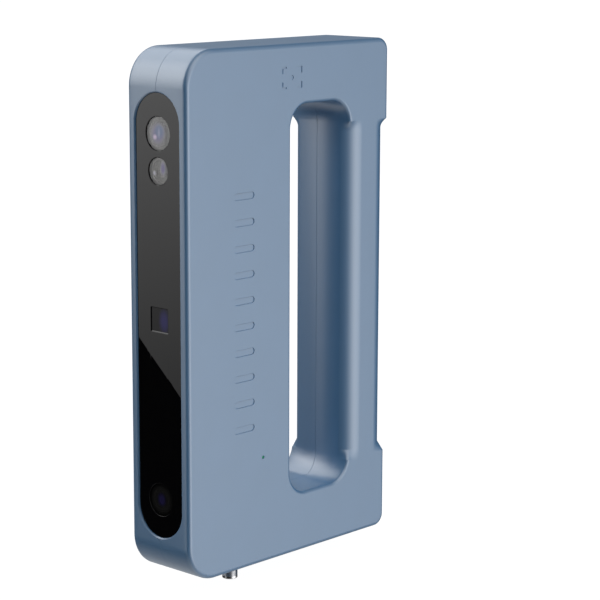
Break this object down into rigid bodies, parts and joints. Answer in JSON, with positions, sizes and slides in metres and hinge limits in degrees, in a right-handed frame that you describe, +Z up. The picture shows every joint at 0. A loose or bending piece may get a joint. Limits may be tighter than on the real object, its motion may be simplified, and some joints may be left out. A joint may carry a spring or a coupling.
{
  "type": "handheld 3d scanner",
  "caption": "Flat handheld 3D scanner with a D-shaped grip, a glossy camera window down its front edge, rear keys and a cable socket below.",
  "frame": {"origin": "the middle of the grip, where the hand holds it", "axes": "+Z up along the lens face, -Y the way the cameras look, +X the side with the status light"},
  "size_m": [0.0388, 0.1415, 0.2608],
  "materials": {
    "shell": "satin metallic paint",
    "window": "gloss",
    "rubber": "matte",
    "glass": "clear, coated",
    "lens": "violet coated",
    "black_metal": "black anodised",
    "aluminium": "satin",
    "steel": "bright",
    "board": "solder mask",
    "black_plastic": "matte",
    "cable": "satin",
    "key": "satin",
    "light": "clear green"
  },
  "bodies": {
    "housing": {"bench_screw_1": "steel", "bench_screw_2": "steel", "bench_screw_3": "steel", "bench_screw_4": "steel", "board_screw_1": "steel", "board_screw_2": "steel", "board_screw_3": "steel", "board_screw_4": "steel", "front_window": "window", "key_board": "board", "key_ribbon": "cable", "left_shell": "shell", "light_pipe": "light", "lower_camera_barrel": "black_metal", "lower_camera_board": "board", "lower_camera_glass": "glass", "lower_camera_lens": "lens", "lower_camera_ribbon": "cable", "main_board": "board", "optical_bench": "aluminium", "processor_heatsink": "aluminium", "projector_glass": "lens", "projector_heatsink": "aluminium", "projector_housing": "black_metal", "projector_lens": "lens", "projector_light_board": "board", "projector_ribbon": "cable", "right_shell": "shell", "shell_screw_1": "steel", "shell_screw_2": "steel", "shell_screw_3": "steel", "shell_screw_4": "steel", "shell_screw_5": "steel", "shell_screw_6": "steel", "shell_screw_7": "steel", "shell_screw_8": "steel", "socket_barrel": "steel", "socket_insert": "black_plastic", "socket_lead": "black_plastic", "socket_nut": "steel", "socket_washer": "rubber", "status_light": "light", "texture_camera_barrel": "black_metal", "texture_camera_board": "board", "texture_camera_glass": "glass", "texture_camera_lens": "lens", "texture_camera_ribbon": "cable", "upper_camera_barrel": "black_metal", "upper_camera_board": "board", "upper_camera_glass": "glass", "upper_camera_lens": "lens", "upper_camera_ribbon": "cable", "window_gasket": "rubber"},
    "brighter_key": {"brighter_key": "key"},
    "dimmer_key": {"dimmer_key": "key"},
    "scan_button": {"scan_button": "key"}
  },
  "joints": [
    {"name": "scan_button_press", "type": "slide", "parent": "housing", "child": "scan_button", "axis": [0, -1, 0], "range_m": [0, 0.0008], "stiffness_N_per_m": 1500},
    {"name": "brighter_key_press", "type": "slide", "parent": "housing", "child": "brighter_key", "axis": [0, -1, 0], "range_m": [0, 0.0008], "stiffness_N_per_m": 1000},
    {"name": "dimmer_key_press", "type": "slide", "parent": "housing", "child": "dimmer_key", "axis": [0, -1, 0], "range_m": [0, 0.0008], "stiffness_N_per_m": 1000}
  ]
}
